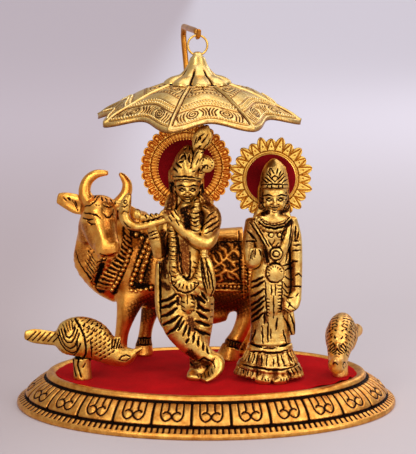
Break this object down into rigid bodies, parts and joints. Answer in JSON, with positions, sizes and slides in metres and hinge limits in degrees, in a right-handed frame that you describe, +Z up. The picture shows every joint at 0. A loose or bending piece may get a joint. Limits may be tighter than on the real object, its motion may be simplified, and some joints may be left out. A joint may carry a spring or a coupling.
{
  "type": "radha krishna statue",
  "caption": "Cast gold-plated group of Krishna with flute, Radha, a cow and peacocks under an umbrella, on an oval lotus base.",
  "frame": {"origin": "centre of the base's underside", "axes": "+Z up, +X along the oval's length to the viewer's right, -Y towards the viewer"},
  "size_m": [0.1998, 0.128, 0.1965],
  "materials": {
    "base_gold": "gold plated casting with a black antique wash",
    "base_felt": "red felt",
    "rod_gold": "polished gold plate",
    "ring_gold": "polished gold plate",
    "umbrella_gold": "pale gold plated casting with a black antique wash",
    "halo_krishna_gold": "deep gold plated casting",
    "halo_krishna_red": "red felt",
    "halo_radha_gold": "gold plated casting",
    "halo_radha_red": "red felt",
    "krishna_gold": "gold plated casting with a black antique wash",
    "radha_gold": "gold plated casting with a black antique wash",
    "cow_gold": "deep gold plated casting with a black antique wash",
    "peacock_left_gold": "gold plated casting with a black antique wash",
    "peacock_right_gold": "gold plated casting with a black antique wash"
  },
  "bodies": {
    "root": {"oval_base": "base_gold", "felt_top": "base_felt", "umbrella_rod": "rod_gold", "umbrella_ring": "ring_gold", "umbrella": "umbrella_gold", "halo_krishna": "halo_krishna_gold", "halo_krishna_felt": "halo_krishna_red", "halo_radha": "halo_radha_gold", "halo_radha_felt": "halo_radha_red", "krishna": "krishna_gold", "radha": "radha_gold", "cow": "cow_gold", "peacock_left": "peacock_left_gold", "peacock_right": "peacock_right_gold"}
  },
  "joints": []
}
